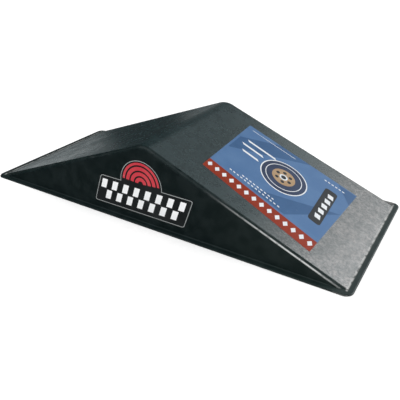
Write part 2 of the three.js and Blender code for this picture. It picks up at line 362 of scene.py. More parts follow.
def shell_plastic():
    """Black plastic under layers of wear and painted light. The share of each layer is a product: a mask
    that says where on the ramp it belongs, times noises that break it up. The walls grow greyer to the
    right, from 0.12 m to 0.34 m along X. The pale dust on the decks is partly a painted reflection, and two
    pale lines, one in the creases and one along the right deck's edges, are painted highlights. The relief
    is four bumps, from the grain up."""
    finish = Finish("shell_plastic")
    deck, edge, run, crease, highlight_line = [finish.attribute(name) for name in MASKS]
    mottle = finish.noise(38, detail=5)
    cloud = finish.noise(9, detail=4, distortion=0.4)
    blotches = finish.noise(70, detail=5, distortion=0.8)
    streaks = finish.noise(30, detail=4, place=finish.stretched((1, 12, 1)))
    swirls = finish.noise(16, detail=5, distortion=2.6)
    grit = finish.noise(180, detail=3, roughness=0.7)
    grain = finish.noise(900, detail=2)

    clouded = finish.spread(mottle, 0.35, 0.65)
    wall = finish.blend(clouded, (0.0036, 0.0088, 0.0092), (0.0082, 0.0150, 0.0155))
    greyer_wall = finish.blend(clouded, (0.0068, 0.0136, 0.0130), (0.0115, 0.0198, 0.0190))
    wall = finish.blend(finish.spread(finish.axes()[0], 0.12, 0.34), wall, greyer_wall)
    ridden = finish.blend(clouded, (0.0019, 0.0095, 0.0110), (0.0072, 0.0170, 0.0190))
    ridden = finish.blend(finish.spread(grit, 0.42, 0.6, 0.0, 0.6), ridden, (0.0175, 0.0340, 0.0360))
    colour = finish.blend(deck, wall, ridden)

    # Pale grey on the decks, most at their lower ends: partly real dust, partly a painted reflection of the
    # studio's softbox.
    dust = finish.times(
        deck,
        finish.spread(run, 0.5, 0.97, 0.0, 0.88),
        finish.spread(cloud, 0.3, 0.7, 0.6, 1.0),
        finish.spread(blotches, 0.35, 0.65, 0.5, 1.0),
        finish.spread(streaks, 0.3, 0.7, 0.85, 1.0),
        finish.spread(grit, 0.4, 0.6, 0.62, 1.38),
    )
    swirl = finish.times(finish.spread(swirls, 0.485, 0.5), finish.spread(swirls, 0.515, 0.5))
    scuffs = finish.times(swirl, deck, finish.spread(run, 0.62, 0.95, 0.0, 0.3))
    # A pale line in the crease where each deck meets the rim: a painted highlight.
    painted_crease_highlight = finish.times(crease, finish.spread(blotches, 0.38, 0.55, 0.15, 0.85))
    rubbed = finish.times(edge, finish.spread(streaks, 0.5, 0.72, 0.0, 0.3))
    # A pale line on the right deck's rounded edges towards its foot: a painted highlight.
    painted_highlight = finish.times(highlight_line, finish.spread(blotches, 0.35, 0.5, 0.55, 1.0))
    pits = finish.times(finish.spread(finish.cells(260), 0.05, 0.16, 0.45, 0.0), deck)
    layers = (
        (dust, (0.272, 0.252, 0.246)),
        (scuffs, (0.300, 0.290, 0.290)),
        (painted_crease_highlight, (0.420, 0.420, 0.410)),
        (rubbed, (0.070, 0.075, 0.076)),
        (painted_highlight, (0.620, 0.630, 0.630)),
        (pits, (0.012, 0.013, 0.013)),
    )
    for share, shade in layers:
        colour = finish.blend(share, colour, shade)
    finish.set("Base Color", colour)

    rough = finish.spread(finish.added(mottle, cloud), 0.7, 1.3, 0.31, 0.41)
    rough = finish.added(rough, finish.times(deck, -0.09))
    finish.set("Roughness", finish.added(rough, finish.times(edge, -0.13), clamp=True))
    calm = finish.spread(edge, 0.0, 0.8, 1.0, 0.1)
    relief = finish.bump(finish.times(grain, calm), 0.00008, 0.4)
    relief = finish.bump(finish.times(grit, deck), 0.0004, 0.35, under=relief)
    relief = finish.bump(finish.times(mottle, calm), 0.0006, 0.3, under=relief)
    finish.set("Normal", finish.bump(finish.times(streaks, calm), 0.0002, 0.2, under=relief))
    return finish.material


SHELL_PLASTIC = shell_plastic()

# %% [markdown]
# ## The shell
# The moulding could be carved from blocks, but its best features are smooth: the rounded spine, edges
# that are rounded all along and die out into the rim, walls that lean in. So the skin is one grid.
# For each place along the ramp the formula gives a section from the rim, round a small foot fillet,
# up the wall, over the rounded edge and across the deck. The sections shrink to flat strips past the
# deck's end, where the grid simply becomes the rim. A second grid makes the hollow below, and rings
# round the rim join the two into one closed skin.

# %% Sections of the moulding
STRAIGHT_STRETCHES = ((0, 50 * MM, 26), (56 * MM, 436 * MM, 58), (440 * MM, 480.5 * MM, 28))
CORNER_SECTIONS = 14
OUTER_CHANGE = (438 * MM, 462 * MM)
INNER_CHANGE = (430 * MM, 460 * MM)
FOOT_FILLET = 2.5 * MM
CURVE_POINTS = 24
SHELF = 8 * MM
CREASE = 0.4 * MM
FLAT_HALF_LENGTH = HALF_LENGTH - RIM_EDGE_RADIUS
FLAT_CORNER = RIM_CORNER_RADIUS - RIM_EDGE_RADIUS
CORNER_X = HALF_LENGTH - RIM_CORNER_RADIUS
CORNER_Y = HALF_WIDTH - RIM_CORNER_RADIUS
RIM_LIP = 0.4 * MM
SAG = 0.2 * MM
RIM_STEPS = 4
FOOT_STEPS = 5
WALL_STEPS = 12
EDGE_STEPS = 12
SHELF_STEPS = 3
DECK_STEPS = 22


def smooth_step(value, low, high):
    """0 below low, 1 above high, and 3t^2 - 2t^3 between them."""
    t = np.clip((value - low) / (high - low), 0, 1)
    return t * t * (3 - 2 * t)


def smooth_max(a, b, width):
    """The larger of two numbers, with the corner between them rounded over about width. It is the mean
    of both plus half of sqrt(difference^2 + width^2), less what that adds where they are equal."""
    difference = a - b
    raised = (a + b + np.sqrt(difference**2 + width**2)) / 2
    return raised - width / 2 * np.exp(-((difference / width) ** 2))


def places_along():
    """Distances along the ramp where sections are taken, mirrored about the spine: close together on the
    spine, near the deck's ends and round the rim's corners, wider apart on the straight decks."""
    corner = CORNER_X + FLAT_CORNER * np.sin(np.linspace(0, np.pi / 2, CORNER_SECTIONS))
    half = np.concatenate([*(np.linspace(*stretch) for stretch in STRAIGHT_STRETCHES), corner])
    return np.concatenate([-half[:0:-1], half])


def steep_side(x, half_width, base, inset, edge_radius, foot_radius):
    """Many points across one side at every x: a hollow quarter circle at the foot, the upright wall, a
    quarter circle carried down the slope, and a strip of deck. Points below base are lifted to it."""
    quarter = np.linspace(0, np.pi / 2, CURVE_POINTS)
    x = x[:, None]
    room = np.maximum(ceiling(x, inset + edge_radius) - base, 0)
    foot = np.minimum(foot_radius, 0.6 * room)
    foot_y = half_width + foot * (1 - np.sin(quarter))
    foot_z = base + foot * (1 - np.cos(quarter))
    edge_y = half_width - edge_radius * (1 - np.cos(quarter)) + 0 * x
    edge_z = ceiling(x, inset + edge_radius * (1 - np.sin(quarter)))
    shelf_y = half_width - edge_radius - SHELF * np.linspace(0.2, 1, 5) + 0 * x
    shelf_z = edge_z[:, -1:] + 0 * shelf_y
    upper_z = smooth_max(np.concatenate([edge_z, shelf_z], axis=1), base, CREASE)
    across = np.concatenate([foot_y, edge_y, shelf_y], axis=1)
    height = np.concatenate([foot_z, upper_z], axis=1)
    knots = [0, CURVE_POINTS - 1, CURVE_POINTS, 2 * CURVE_POINTS - 1, across.shape[1] - 1]
    return across, height, knots


def resample(across, height, knots, counts, evenly):
    """New points along each row's curve. counts gives how many steps each stretch between knots takes,
    and evenly, from 0 to 1 per row, turns that into equal steps. The rows' distances are set far apart
    from each other, so one interpolation does them all."""
    step = np.hypot(np.diff(across, axis=1), np.diff(height, axis=1))
    along = np.concatenate([np.zeros((len(across), 1)), np.cumsum(step, axis=1)], axis=1)
    total = along[:, -1:]
    pieces = [along[:, :1]]
    for first, last, count in zip(knots[:-1], knots[1:], counts):
        share = np.linspace(0, 1, count + 1)[1:]
        pieces.append(along[:, first : first + 1] * (1 - share) + along[:, last : last + 1] * share)
    wanted = np.concatenate(pieces, axis=1)
    even = total * np.linspace(0, 1, wanted.shape[1])
    wanted = wanted + (even - wanted) * evenly[:, None]
    far_apart = np.arange(len(across))[:, None] * 10.0
    known = (along + far_apart).ravel()
    asked = wanted + far_apart
    return np.interp(asked, known, across.ravel()), np.interp(asked, known, height.ravel())


def mirrored(x, across, height):
    """Whole sections from half ones: the near half, then the far half back from the middle."""
    y = np.concatenate([-across, across[:, -2::-1]], axis=1)
    z = np.concatenate([height, height[:, -2::-1]], axis=1)
    return np.stack([np.broadcast_to(x[:, None], y.shape), lean(y, z), z], axis=-1)


def middle_strip(across, height, count):
    """The rest of each section to the middle of the deck, in steps that widen towards it."""
    share = np.linspace(0, 1, count + 1)[1:] ** 0.8
    level = np.repeat(height[:, -1:], count, axis=1)
    across = np.concatenate([across, across[:, -1:] * (1 - share)], axis=1)
    return across, np.concatenate([height, level], axis=1)


def outer_sections():
    """Sections of the outside at every place along the ramp. Their points change over to equal steps
    near the deck's end, and where the rim's corner turns in, the whole section slides in with it."""
    x = places_along()
    past_corner = np.maximum(np.abs(x) - CORNER_X, 0)
    outline = CORNER_Y + np.sqrt(np.maximum(FLAT_CORNER**2 - past_corner**2, 0))
    across, height, knots = steep_side(x, BODY_HALF_WIDTH, RIM_TOP, 0, EDGE_RADIUS, FOOT_FILLET)
    evenly = smooth_step(np.abs(x), *OUTER_CHANGE)
    counts = (FOOT_STEPS, WALL_STEPS, EDGE_STEPS, SHELF_STEPS)
    across, height = resample(across, height, knots, counts, evenly)
    beyond = np.maximum(BODY_HALF_WIDTH + 3 * MM - outline, 0)
    across = across - beyond[:, None]
    share = np.linspace(0, 1, RIM_STEPS + 1)[:-1]
    rim = outline[:, None] * (1 - share) + across[:, :1] * share
    across = np.concatenate([rim, across], axis=1)
    height = np.concatenate([np.full(rim.shape, RIM_TOP), height], axis=1)
    return mirrored(x, *middle_strip(across, height, DECK_STEPS))


def inner_sections():
    """Sections of the hollow, one for each of the outside's, drawn in to the hollow's length."""
    under = WALL_THICKNESS / math.cos(SLOPE)
    hollow_half = BODY_HALF_LENGTH - (under - RIM_TOP + UNDERSIDE) / math.tan(SLOPE)
    x = places_along() * (hollow_half / FLAT_HALF_LENGTH)
    half_width = BODY_HALF_WIDTH - WALL_THICKNESS
    inner_edge_radius = EDGE_RADIUS - WALL_THICKNESS
    across, height, knots = steep_side(x, half_width, UNDERSIDE, WALL_THICKNESS, inner_edge_radius, 0)
    evenly = smooth_step(np.abs(x), *INNER_CHANGE)
    counts = (RIM_STEPS + FOOT_STEPS + WALL_STEPS, EDGE_STEPS, SHELF_STEPS)
    across, height = resample(across, height, [0, *knots[2:]], counts, evenly)
    return mirrored(x, *middle_strip(across, height, DECK_STEPS))


# %% [markdown]
# The rim's own edge is a ring of rows, each the outline pushed outwards and down: a quarter circle over
# the top edge, a short upright, a tiny round below. A point is pushed straight away from the nearest
# point of the rectangle between the corners' centres, which is how a rounded rectangle grows evenly.

# %% One closed skin


def border(numbers):
    """The point numbers round the edge of a grid, near side first, once round."""
    near = numbers[:, 0]
    right = numbers[-1, 1:]
    far = numbers[-2::-1, -1]
    left = numbers[0, -2:0:-1]
    return np.concatenate([near, right, far, left])


def rim_rows(edge_points):
    """Rows of points round the rim's edge, from its flat top down to its underside."""
    centres = np.clip(edge_points[:, :2], [-CORNER_X, -CORNER_Y], [CORNER_X, CORNER_Y])
    outward = (edge_points[:, :2] - centres) / FLAT_CORNER
    top = arc((0, RIM_TOP - RIM_EDGE_RADIUS), RIM_EDGE_RADIUS, 90, 0, 7)[1:]
    low = arc((RIM_EDGE_RADIUS - RIM_LIP, UNDERSIDE + RIM_LIP), RIM_LIP, 0, -90, 4)
    rows = []
    for push, height in np.concatenate([top, low]):
        flat = centres + outward * (FLAT_CORNER + push)
        rows.append(np.column_stack([flat, np.full(len(flat), height)]))
    return rows


def bowed(points):
    """A cooled moulding is never quite flat: the decks sag a little between their supports. The sag is a
    fifth of a millimetre times one plus two long waves, along the ramp and aslant, so half a millimetre
    at the most, and dies out at the edges."""
    x, y, z = points[..., 0], points[..., 1], points[..., 2]
    inside = smooth_step(BODY_HALF_WIDTH - 0.02 - np.abs(y), 0, 0.06) * smooth_step(z, 0.008, 0.03)
    wave = np.sin(x * 47 + 0.6) * np.cos(y * 13) + 0.6 * np.sin(x * 21 - y * 17)
    points[..., 2] = z - SAG * (1 + wave) * inside
    return points


def shell_skin():
    """Points and faces of the whole skin: the outside's grid, the hollow's grid turned over, and rings
    from the border of the one over the rim's edge to the border of the other."""
    outside = bowed(outer_sections())
    inside = inner_sections()
    size = outside.shape[0] * outside.shape[1]
    outer = np.arange(size).reshape(outside.shape[:2])
    inner = size + outer
    rim = rim_rows(outside.reshape(-1, 3)[border(outer)])
    ring = 2 * size + np.arange(len(rim) * len(rim[0])).reshape(len(rim), -1)
    rings = np.concatenate([border(outer)[None], ring, border(inner)[None]])
    points = np.concatenate([outside.reshape(-1, 3), inside.reshape(-1, 3), *rim])
    faces = [grid_quads(outer), grid_quads(inner)[:, ::-1], grid_quads(closed_rows(rings))]
    return points, np.concatenate(faces)


def add_masks(mesh):
    """Stores five masks on the points. deck is 1 on what is ridden, and on the far rim towards the right
    end, so that the deck's pale colour there stands as a painted reflection. edge is 1 on the rounded edges
    beside the deck. run grows from 0 at the spine to 1 at the right deck's foot, and less far on the left
    deck. crease is
    1 where a deck meets the rim, where a painted highlight goes, and the fifth mask is 1 where a painted
    highlight runs along the right deck's edges."""
    co = np.zeros(len(mesh.vertices) * 3)
    mesh.vertices.foreach_get("co", co)
    normal = np.zeros(len(mesh.vertices) * 3)
    mesh.vertex_normals.foreach_get("vector", normal)
    x, y, z = co.reshape(-1, 3).T
    sideways, up = np.abs(normal.reshape(-1, 3)[:, 1]), normal.reshape(-1, 3)[:, 2]
    half = lean(BODY_HALF_WIDTH, z)
    past_end = np.abs(x) - BODY_HALF_LENGTH
    outside = (z > ceiling(x) - 1 * MM - EDGE_RADIUS) & (up > 0.05)
    deck = smooth_step(half - EDGE_RADIUS * 0.75 - np.abs(y), 0, 2 * MM)
    deck = deck * (up > 0.5) * (z > RIM_TOP + 0.2 * MM)
    # The far rim towards the right end takes the deck's pale colour: a painted reflection.
    far_rim_sheen = (y > half) * (up > 0.5) * smooth_step(x, 0.36, 0.42)
    far_rim_sheen = far_rim_sheen * (1 - smooth_step(past_end, -2 * MM, 2 * MM))
    edge = smooth_step(sideways, 0.15, 0.5) * smooth_step(up, 0.12, 0.4) * outside
    run = np.clip(np.abs(x) / BODY_HALF_LENGTH, 0, 1) * np.where(x > 0, 1, 0.62)
    crease = smooth_step(3 * MM - np.abs(past_end), 0, 2 * MM) * (np.abs(y) < half) * (up > 0.5)
    # The fifth mask: where a painted highlight runs along the right deck's edges.
    highlight_line = smooth_step(sideways, 0.70, 0.84) * (1 - smooth_step(sideways, 0.88, 0.96)) * outside
    highlight_line = highlight_line * smooth_step(x, 0.16, 0.36) * (1 - 0.7 * smooth_step(x, 0.41, 0.47))
    for name, values in zip(MASKS, (np.maximum(deck, far_rim_sheen), edge, run, crease, highlight_line)):
        mesh.attributes.new(name, "FLOAT", "POINT").data.foreach_set("value", values.astype(np.float32))


shell_mesh = make_mesh("moulded_shell", *shell_skin())
add_masks(shell_mesh)
add_piece(shell_mesh, SHELL_PLASTIC, ["ramp_shell"])
print("shell faces:", len(shell_mesh.polygons))

# %% [markdown]
# ## Printed vinyl
# A sticker is a flat shape with a little thickness, laid on a surface. Its art is drawn flat, in metres,
# as outlines. Each outline is repeated smaller and smaller towards its middle, which gives a grid of
# loops, and the grid is carried onto the deck or the wall, so the sheet follows every sag of the
# plastic. Ink is one more layer of the same kind, a few hundredths of a millimetre higher. Cut shapes
# like these keep a crisp edge from any distance, which a pattern on a coarse mesh would not.

# %% Flat shapes


def rounded(before, here, after, cut, count=7):
    """A curve that rounds a corner. It starts and ends cut away from the corner and is pulled towards it:
    (1 - t)^2 start + 2t(1 - t) corner + t^2 end."""
    start = here + (before - here) * cut / np.linalg.norm(before - here)
    end = here + (after - here) * cut / np.linalg.norm(after - here)
    t = np.linspace(0, 1, count)[:, None]
    return (1 - t) ** 2 * start + 2 * t * (1 - t) * here + t**2 * end


def outline_of(corners, cut=0.0, step=12 * MM):
    """A closed outline through corners, each rounded where cut is given, with each straight divided into
    steps."""
    corners = np.asarray(corners, float)
    pieces = []
    for before, here, after in zip(np.roll(corners, 1, axis=0), corners, np.roll(corners, -1, axis=0)):
        curve = rounded(before, here, after, cut, 7 if cut else 1)
        stop = after + (here - after) * cut / np.linalg.norm(after - here)
        count = int(np.linalg.norm(stop - curve[-1]) / step)
        share = np.linspace(0, 1, count + 2)[1:-1, None]
        pieces += [curve, curve[-1] + (stop - curve[-1]) * share]
    return np.concatenate(pieces)


def filled(outline, rings=3, middle=None):
    """Loops that shrink from an outline to its middle."""
    middle = outline.mean(axis=0) if middle is None else middle
    share = np.linspace(1, 0, rings + 1)[:, None, None]
    return middle + (outline - middle) * share


def round_band(centre, outer, inner):
    """A band between two circles, as two loops."""
    return np.stack([arc(centre, radius, 0, 360, 73)[:-1] for radius in (outer, inner)])


def slanted(centre, length, height, slant):
    """A parallelogram whose upper edge is moved sideways by slant."""
    x = np.array([-length - slant, length - slant, length + slant, slant - length]) / 2
    y = np.array([-height, -height, height, height]) / 2
    return np.stack([centre[0] + x, centre[1] + y], axis=-1)


def sheet(shapes, place, low, high):
    """Points and faces of thin sheets. place carries flat art and a height above the surface to space.
    Every shape becomes a top, an underside and a wall round its outer loop, and one round its inner
    loop unless that has shrunk to a point."""
    parts = []
    for loops in shapes:
        points = np.concatenate([place(loops, high).reshape(-1, 3), place(loops, low).reshape(-1, 3)])
        top = np.arange(loops.shape[0] * loops.shape[1]).reshape(loops.shape[:2])
        under = top + top.size
        faces = [grid_quads(closed_rows(top)), grid_quads(closed_rows(under))[:, ::-1]]
        faces.append(grid_quads(closed_rows(np.stack([under[0], top[0]]))))
        if np.ptp(loops[-1], axis=0).max() > 1e-9:
            faces.append(grid_quads(closed_rows(np.stack([top[-1], under[-1]]))))
        parts.append((points, np.concatenate(faces)))
    return joined(parts)


# %% [markdown]
# ## Inks and vinyl
# Printed vinyl is smooth and slightly glossy. Up close the ink has a fine grain from the press, and
# outdoors it fades in clouds and gets rubbed. One recipe serves all the inks, so they age alike.

# %% Ink recipe


def ink(name, colour, faded, roughness=0.34):
    """An ink whose colour drifts to faded in soft clouds, with a fine grain and small pale rubs."""
    finish = Finish(name, specular=0.12)
    cloud = finish.noise(14, detail=4, distortion=0.5)
    grain = finish.noise(1400, detail=1)
    rubs = finish.noise(60, detail=5, place=finish.stretched((1, 5, 2), 0.5))
    base = finish.blend(finish.spread(cloud, 0.3, 0.75, 0.0, 0.8), colour, faded)
    speckled = finish.blend(finish.spread(grain, 0.55, 0.8, 0.0, 0.35), base, faded)
    pale = tuple(min(1.0, channel * 0.6 + 0.22) for channel in faded)
    finish.set("Base Color", finish.blend(finish.spread(rubs, 0.68, 0.76, 0.0, 0.4), speckled, pale))
    finish.set("Roughness", finish.spread(cloud, 0.3, 0.7, roughness - 0.05, roughness + 0.08))
    finish.set("Normal", finish.bump(grain, 0.00003, 0.4))
    return finish.material


LABEL_BLUE = ink("label_blue", (0.068, 0.144, 0.290), (0.100, 0.185, 0.330))
SHADE_BLUE = ink("label_shade_blue", (0.036, 0.090, 0.198), (0.055, 0.120, 0.240))
LABEL_RED = ink("label_red", (0.203, 0.020, 0.006), (0.245, 0.032, 0.012))
LABEL_WHITE = ink("label_white", (0.760, 0.780, 0.800), (0.640, 0.680, 0.720))
LABEL_NAVY = ink("label_navy", (0.020, 0.030, 0.065), (0.040, 0.055, 0.100))
LABEL_BLACK = ink("label_black", (0.012, 0.012, 0.014), (0.030, 0.032, 0.036))
LABEL_TAN = ink("label_tan", (0.300, 0.190, 0.100), (0.420, 0.300, 0.190))
DECAL_BLACK = ink("decal_black", (0.010, 0.012, 0.013), (0.020, 0.023, 0.024))
DECAL_WHITE = ink("decal_white", (0.860, 0.870, 0.880), (0.760, 0.780, 0.790))
DECAL_RED = ink("decal_red", (0.520, 0.032, 0.050), (0.600, 0.080, 0.090))
DECAL_GREY = ink("decal_grey", (0.330, 0.350, 0.350), (0.250, 0.270, 0.270))

# %% [markdown]
# ## The deck label
# The label was stuck on by hand: it lies a little askew on the right deck and is not quite square. Its
# corners are shares of the deck's length, counted up from the foot, and of its half width. The art is
# drawn in a plain rectangle and stretched evenly between the four corners. It is a generic print: blue
# with darker facets, a red band with white diamonds, and a skate wheel.

# %% Where the label lies
DECK_LENGTH = math.sqrt(BODY_HALF_LENGTH**2 + deck_rise**2 - SPINE_RADIUS**2)
LABEL_CORNER_SHARES = np.array([(0.198, -0.822), (0.172, 0.673), (0.832, 0.714), (0.8, -0.624)])
label_corners = LABEL_CORNER_SHARES * (DECK_LENGTH, BODY_HALF_WIDTH)
near_low, far_low, far_up, near_up = label_corners
LABEL_LENGTH = (np.linalg.norm(near_up - near_low) + np.linalg.norm(far_up - far_low)) / 2
LABEL_WIDTH = (np.linalg.norm(far_low - near_low) + np.linalg.norm(far_up - near_up)) / 2
print(f"label {LABEL_LENGTH * 1000:.0f} by {LABEL_WIDTH * 1000:.0f} mm")


def on_deck(flat, height):
    """Carries label art to the right deck. Each point is a mix of the four corners, by its shares of the
    label's length and width. It is then laid on the sagging deck and raised square to it."""
    s = flat[..., :1] / LABEL_LENGTH
    t = flat[..., 1:] / LABEL_WIDTH
    low_edge = near_low * (1 - t) + far_low * t
    up_edge = near_up * (1 - t) + far_up * t
    deck = low_edge * (1 - s) + up_edge * s
    x = BODY_HALF_LENGTH - deck[..., 0] * math.cos(SLOPE)
    z = RIM_TOP + deck[..., 0] * math.sin(SLOPE)
    points = bowed(np.stack([x, deck[..., 1], z], axis=-1))
    return points + height * np.array([math.sin(SLOPE), 0, math.cos(SLOPE)])


# %% Label art
LABEL_BASE = (0.05 * MM, 0.20 * MM)
FIRST_INK = (0.22 * MM, 0.27 * MM)
SECOND_INK = (0.29 * MM, 0.34 * MM)
THIRD_INK = (0.36 * MM, 0.41 * MM)
LABEL_CORNER = 3 * MM
STRIPE_WIDTH = 40 * MM
DIAMONDS = 14
WHEEL_CENTRE = np.array([158, 166]) * MM
WHEEL_RADIUS = 60 * MM
CORE_RADIUS = 31 * MM
FACET_SHARES = (
    ((0.0, 0.62), (0.30, 0.16), (0.62, 0.16)),
    ((0.42, 1.0), (0.98, 0.46), (0.98, 0.72), (0.70, 1.0)),
    ((0.0, 0.80), (0.16, 0.99), (0.0, 0.99)),
)


def box_outline(low, high, cut=0.0):
    """A rectangle between two corners as an outline."""
    return outline_of([low, (high[0], low[1]), high, (low[0], high[1])], cut)


def diamonds():
    """Evenly spaced diamonds along the middle of the red band."""
    spacing = LABEL_LENGTH / DIAMONDS
    centres = spacing * (np.arange(DIAMONDS) + 0.5)
    tips = np.array([(-7, 0), (0, -10), (7, 0), (0, 10)]) * MM
    return [filled(tips + (centre, STRIPE_WIDTH * 0.55), 1) for centre in centres]


def core_holes():
    """Six round holes in a ring halfway out in the wheel's core."""
    turns = np.radians(np.arange(6) * 60 + 15)
    centres = WHEEL_CENTRE + CORE_RADIUS * 0.62 * np.stack([np.cos(turns), np.sin(turns)], axis=-1)
    return [filled(arc(centre, 5 * MM, 0, 345, 24)) for centre in centres]


def speed_bars():
    """Three slanted bars that trail behind the wheel, each shorter than the one before."""
    rows = ((246, 214, 84), (262, 188, 62), (256, 160, 48))
    return [filled(slanted(np.array([x, y]) * MM, length * MM, 7 * MM, 7 * MM)) for x, y, length in rows]


def small_dashes():
    """Two rows of small slanted dashes beside the red band, and one short row at the far edge."""
    first = [(118 + 11 * i, 56) for i in range(14)]
    second = [(140 + 11 * i, 66) for i in range(9)]
    third = [(30 + 10 * i, 268) for i in range(6)]
    rows = np.array(first + second + third) * MM
    return [filled(slanted(centre, 6 * MM, 3.4 * MM, 2 * MM), 1) for centre in rows]


def label_blocks():
    """Five slanted blocks in a row along the black bar."""
    centres = [np.array([38 + 1.5 * i, 118 + 24 * i]) * MM for i in range(5)]
    return [filled(outline_of(slanted(centre, 15 * MM, 15 * MM, 5 * MM))) for centre in centres]


def ring(outer, inner):
    """A band of the wheel, between two distances from its centre."""
    return round_band(WHEEL_CENTRE, outer, inner)


def add_label():
    """The label's base and its inks, one piece for each ink, from the lowest layer up."""
    full = box_outline((0, 0), (LABEL_LENGTH, LABEL_WIDTH), LABEL_CORNER)
    shades = [filled(outline_of(np.array(facet) * (LABEL_LENGTH, LABEL_WIDTH))) for facet in FACET_SHARES]
    stripe = box_outline((0, 0), (LABEL_LENGTH, STRIPE_WIDTH), LABEL_CORNER)
    thin_line = filled(box_outline((170 * MM, 272 * MM), (LABEL_LENGTH - 16 * MM, 273.6 * MM)))
    bar = outline_of(slanted(np.array([44, 166]) * MM, 34 * MM, 150 * MM, 14 * MM), 9 * MM)
    tyre_line = ring(WHEEL_RADIUS + 3 * MM, WHEEL_RADIUS)
    groove = ring(WHEEL_RADIUS - 11 * MM, WHEEL_RADIUS - 13 * MM)
    race = ring(11 * MM, 7 * MM)
    core = filled(arc(WHEEL_CENTRE, CORE_RADIUS, 0, 355, 72))
    hub = filled(arc(WHEEL_CENTRE, 7 * MM, 0, 345, 24))
    marks = [*diamonds(), *speed_bars(), *small_dashes(), thin_line, tyre_line]
    layers = (
        ("base", LABEL_BLUE, LABEL_BASE, [filled(full, 12)]),
        ("facets", SHADE_BLUE, FIRST_INK, shades),
        ("stripe", LABEL_RED, FIRST_INK, [filled(stripe, 8)]),
        ("bar", LABEL_BLACK, SECOND_INK, [filled(bar, 4)]),
        ("tyre", LABEL_NAVY, SECOND_INK, [ring(WHEEL_RADIUS, CORE_RADIUS)]),
        ("core", LABEL_TAN, SECOND_INK, [core]),
        ("marks", LABEL_WHITE, SECOND_INK, marks),
        ("blocks", LABEL_WHITE, THIRD_INK, [*label_blocks(), groove, race]),
        ("holes", LABEL_BLACK, THIRD_INK, [*core_holes(), hub]),
    )
    for name, material, heights, shapes in layers:
        mesh = make_mesh(f"label_{name}", *sheet(shapes, on_deck, *heights))
        add_piece(mesh, material, ["deck_label"] if name == "base" else ())
    print("label layers:", len(layers))


add_label()

# %% [markdown]
# ## The side decals
# Each side wall carries a black die-cut decal: a slanted band with a half disc standing on it, edged
# with a thin grey line. The outline is a function of how far inside the cut it runs, so the grey line
# is simply the strip between two such outlines. The print is generic: slanted white blocks in the band
# and red half rings in the disc. The far decal is the near one turned half round.

# %% Where a decal lies
BODY_RISE = HEIGHT - RIM_TOP
DECAL_LEFT = -0.31 * BODY_HALF_LENGTH
DECAL_RIGHT = 0.285 * BODY_HALF_LENGTH
DECAL_LOW = 0.095 * BODY_RISE
DECAL_HIGH = 0.5 * BODY_RISE
DECAL_SLANT = 0.05 * BODY_HALF_LENGTH
DISC_RADIUS = 0.32 * BODY_RISE
DISC_X = (DECAL_LEFT + DECAL_RIGHT) / 2
DECAL_CORNER = 9 * MM


def on_near_wall(flat, height):
    """Carries decal art to the near side wall: along the ramp, up the leaning wall, out from it."""
    up = flat[..., 1]
    y = -BODY_HALF_WIDTH + up * math.sin(DRAFT) - height * math.cos(DRAFT)
    z = RIM_TOP + up * math.cos(DRAFT) + height * math.sin(DRAFT)
    return np.stack([flat[..., 0], y, z], axis=-1)


def on_far_wall(flat, height):
    """The near wall's place turned half round about the upright axis."""
    return on_near_wall(flat, height) * (-1, -1, 1)


def decal_outline(inset):
    """The decal's cut, moved inwards: a slanted band whose corners are cut round, and a half disc on its
    top edge. With an inset, the disc meets the band where its smaller circle crosses the lower edge."""
    lean_share = DECAL_SLANT / (DECAL_HIGH - DECAL_LOW)
    side = inset * math.hypot(1, lean_share)
    drift = inset * lean_share
    low = DECAL_LOW + inset
    high = DECAL_HIGH - inset
    lower_left = np.array([DECAL_LEFT + side + drift, low])
    lower_right = np.array([DECAL_RIGHT - DECAL_SLANT - side + drift, low])
    upper_left = np.array([DECAL_LEFT + DECAL_SLANT + side - drift, high])
    upper_right = np.array([DECAL_RIGHT - side - drift, high])
    middle = np.array([DISC_X, high])
    radius = DISC_RADIUS - inset
    dip = math.degrees(math.asin(inset / radius))
    cut = DECAL_CORNER - inset
    pieces = [
        rounded(lower_left, lower_right, upper_right, cut),
        rounded(lower_right, upper_right, middle, cut),
        arc((DISC_X, DECAL_HIGH), radius, -dip, 180 + dip, 49),
        rounded(middle, upper_left, lower_left, cut),
        rounded(upper_left, lower_left, lower_right, cut),
    ]
    return np.concatenate(pieces)


# %% Decal art
DECAL_BASE = (0.05 * MM, 0.25 * MM)
DECAL_INK = (0.28 * MM, 0.34 * MM)
EDGE_LINE = (2.0 * MM, 3.6 * MM)
BLOCK_ROW_SHARES = (0.70, 0.34)
BLOCK_STEPS = 15
BLOCK_HEIGHT = 23.4 * MM
BLOCK_MARGIN = 13 * MM
BLOCK_WIDTH_SHARE = 0.96
BLOCK_SLANT_SHARE = 0.3
RING_RADII = ((16, 7), (29, 20), (42, 33), (52, 46))
RING_LIFT = 2 * MM
RING_ENDS = (4, 176)


def decal_blocks():
    """Two rows of slanted white blocks, every second step along the band, set like a chessboard."""
    start = DECAL_LEFT + BLOCK_MARGIN + DECAL_SLANT / 2
    step = (DECAL_RIGHT - DECAL_LEFT - DECAL_SLANT - 2 * BLOCK_MARGIN) / BLOCK_STEPS
    size = (step * BLOCK_WIDTH_SHARE, BLOCK_HEIGHT, DECAL_SLANT * BLOCK_SLANT_SHARE)
    blocks = []
    for row, share in enumerate(BLOCK_ROW_SHARES):
        up = DECAL_LOW + share * (DECAL_HIGH - DECAL_LOW)
        slide = (share - 0.5) * DECAL_SLANT * 0.5
        for i in range(row, BLOCK_STEPS - row, 2):
            centre = (start + (i + 0.5) * step + slide, up)
            blocks.append(filled(slanted(centre, *size), 1))
    return blocks


def half_rings():
    """Concentric half rings in the half disc, each a strip between two arcs."""
    centre = (DISC_X, DECAL_HIGH + RING_LIFT)
    return [[arc(centre, radius * MM, *RING_ENDS, 49) for radius in pair] for pair in RING_RADII]


def strip_sheet(strips, place, low, high):
    """Points and faces of thin strips, each given as its two long edges: a closed tube whose section is a
    flat rectangle."""
    parts = []
    for outer, inner in strips:
        section = [place(outer, high), place(inner, high), place(inner, low), place(outer, low)]
        parts.append(tube(np.stack(section, axis=1)))
    return joined(parts)


